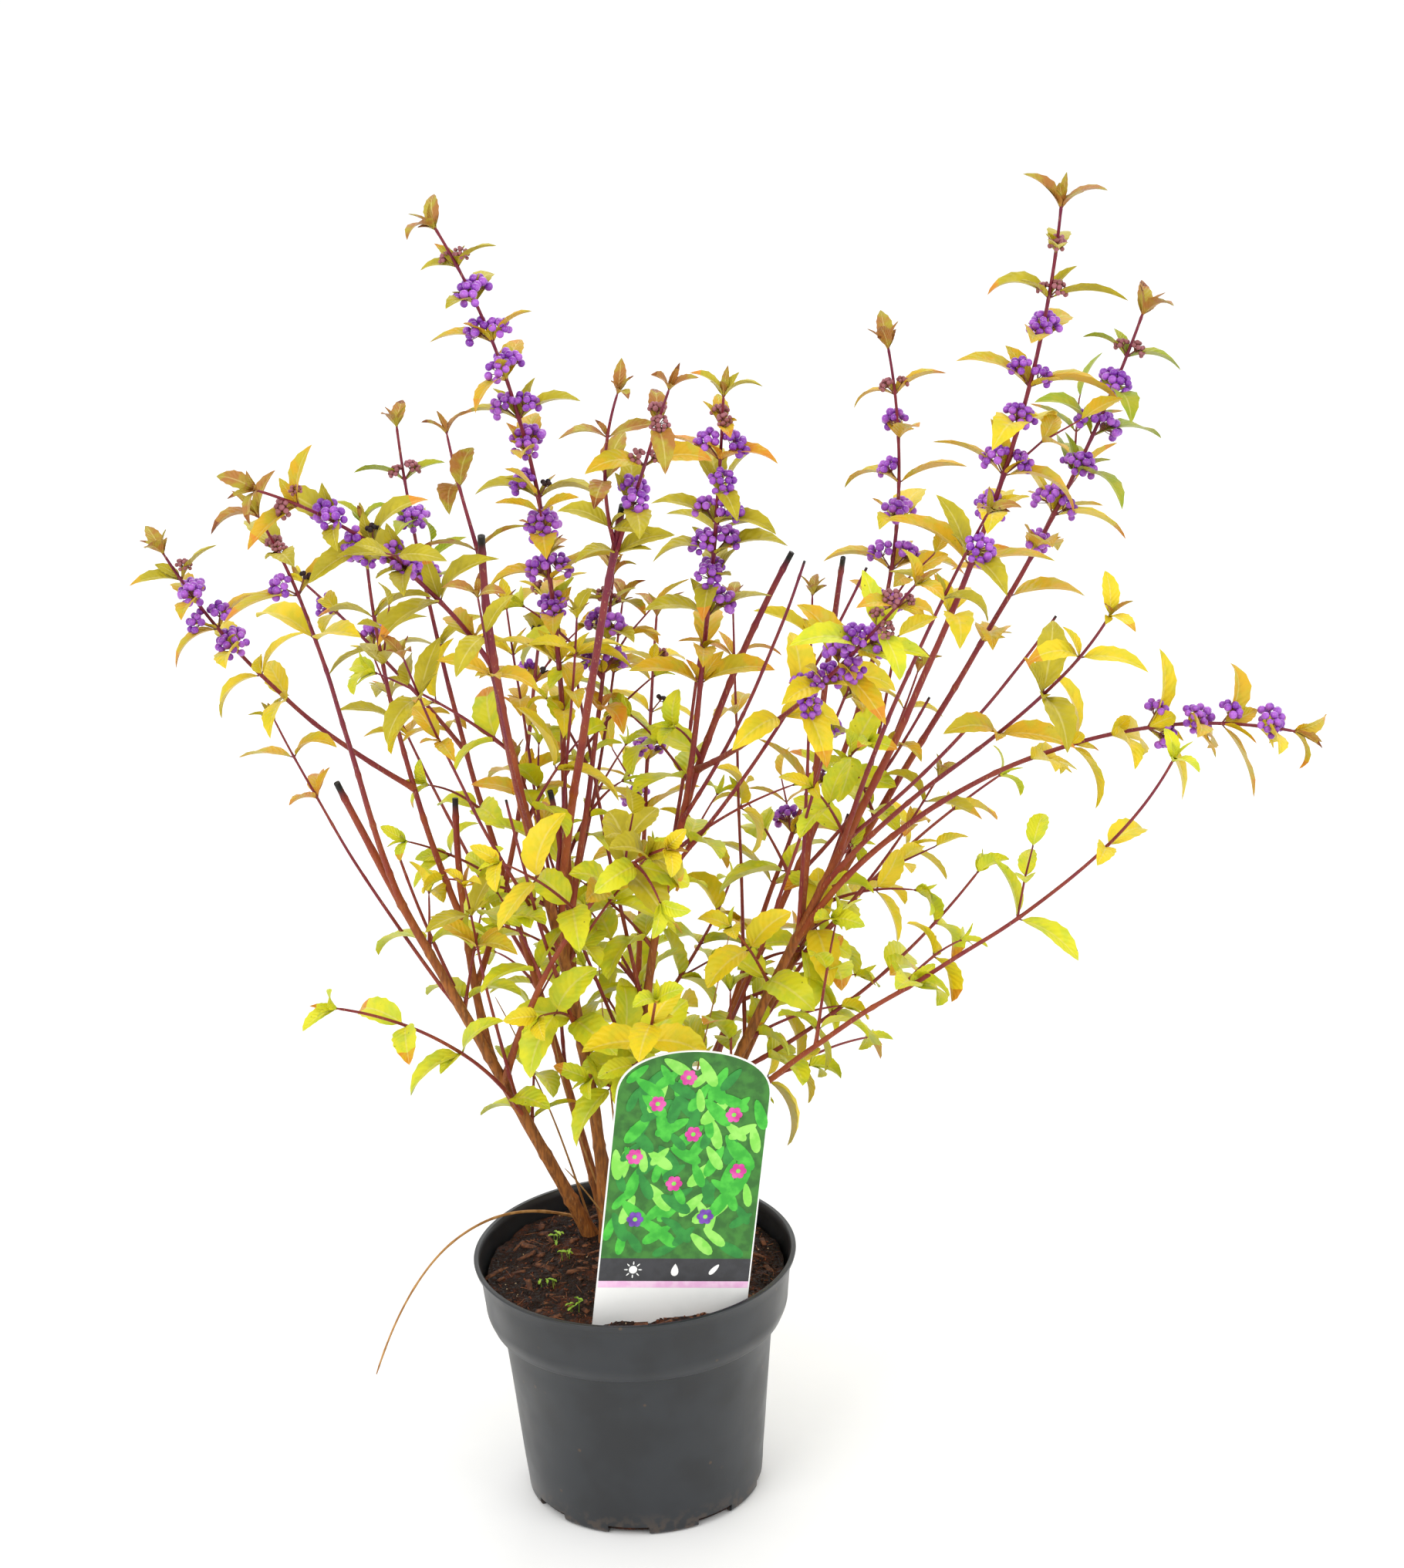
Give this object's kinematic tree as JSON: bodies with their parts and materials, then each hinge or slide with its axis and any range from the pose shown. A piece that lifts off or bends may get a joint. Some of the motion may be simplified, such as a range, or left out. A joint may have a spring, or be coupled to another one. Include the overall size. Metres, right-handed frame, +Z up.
{
  "type": "potted issai purple beautyberry",
  "caption": "Deciduous shrub with arching red stems, opposite golden autumn leaves and violet berry clusters, in a dark nursery pot with soil and a plain arched plant label.",
  "frame": {"origin": "middle of the pot's flat underside, where it stands", "axes": "+Z up along the pot's axis; -Y to the side that the label faces; +X to the picture's right"},
  "size_m": [0.6533, 0.4003, 0.76],
  "materials": {
    "pot": "moulded charcoal polypropylene, satin",
    "soil": "dark moist peat with fibres and bark chips",
    "label": null,
    "trunk_bark": "orange-brown bark with small pores",
    "young_bark": "smooth purple-red bark with nodes",
    "dry_stem": "dry straw-coloured stalk",
    "foliage": "golden-yellow autumn leaves, soft sheen",
    "berry": "glossy violet berries"
  },
  "bodies": {
    "root": {"arm_left_inner": "young_bark", "arm_left_middle": "young_bark", "arm_middle_cut": "young_bark", "arm_middle_right": "young_bark", "arm_right_cut": "young_bark", "bough_back_left": "young_bark", "bough_centre": "young_bark", "bough_far_left": "young_bark", "bough_front_dark": "young_bark", "bough_front_right": "young_bark", "bough_left_back": "young_bark", "bough_left_tall": "young_bark", "bough_purple_side": "young_bark", "bough_right_front": "young_bark", "bough_right_long": "young_bark", "dry_stalk": "dry_stem", "foliage_back_left": "foliage", "foliage_back_middle": "foliage", "foliage_back_right": "foliage", "foliage_bronze_tip": "foliage", "foliage_centre": "foliage", "foliage_far_left": "foliage", "foliage_front_left_tip": "foliage", "foliage_front_right": "foliage", "foliage_front_right_tip": "foliage", "foliage_left_back": "foliage", "foliage_left_inner": "foliage", "foliage_left_long_side": "foliage", "foliage_left_rear": "foliage", "foliage_left_rear_side": "foliage", "foliage_left_tall": "foliage", "foliage_low_back": "foliage", "foliage_low_front": "foliage", "foliage_low_left": "foliage", "foliage_low_right": "foliage", "foliage_low_right_back": "foliage", "foliage_low_right_twig": "foliage", "foliage_low_right_upper": "foliage", "foliage_middle_right": "foliage", "foliage_plume_centre": "foliage", "foliage_plume_left": "foliage", "foliage_plume_right": "foliage", "foliage_purple_side": "foliage", "foliage_right_front": "foliage", "foliage_right_long": "foliage", "foliage_trunk_right": "foliage", "label": "label", "pot": "pot", "soil": "soil", "stem_back_middle": "young_bark", "stem_back_right": "young_bark", "stem_centre": "young_bark", "stem_left_rear": "young_bark", "stem_low_right": "young_bark", "stem_plume_centre": "young_bark", "stem_plume_left": "young_bark", "stem_plume_right": "young_bark", "trunk_left": "trunk_bark", "trunk_middle": "trunk_bark", "trunk_right": "trunk_bark"}
  },
  "joints": []
}
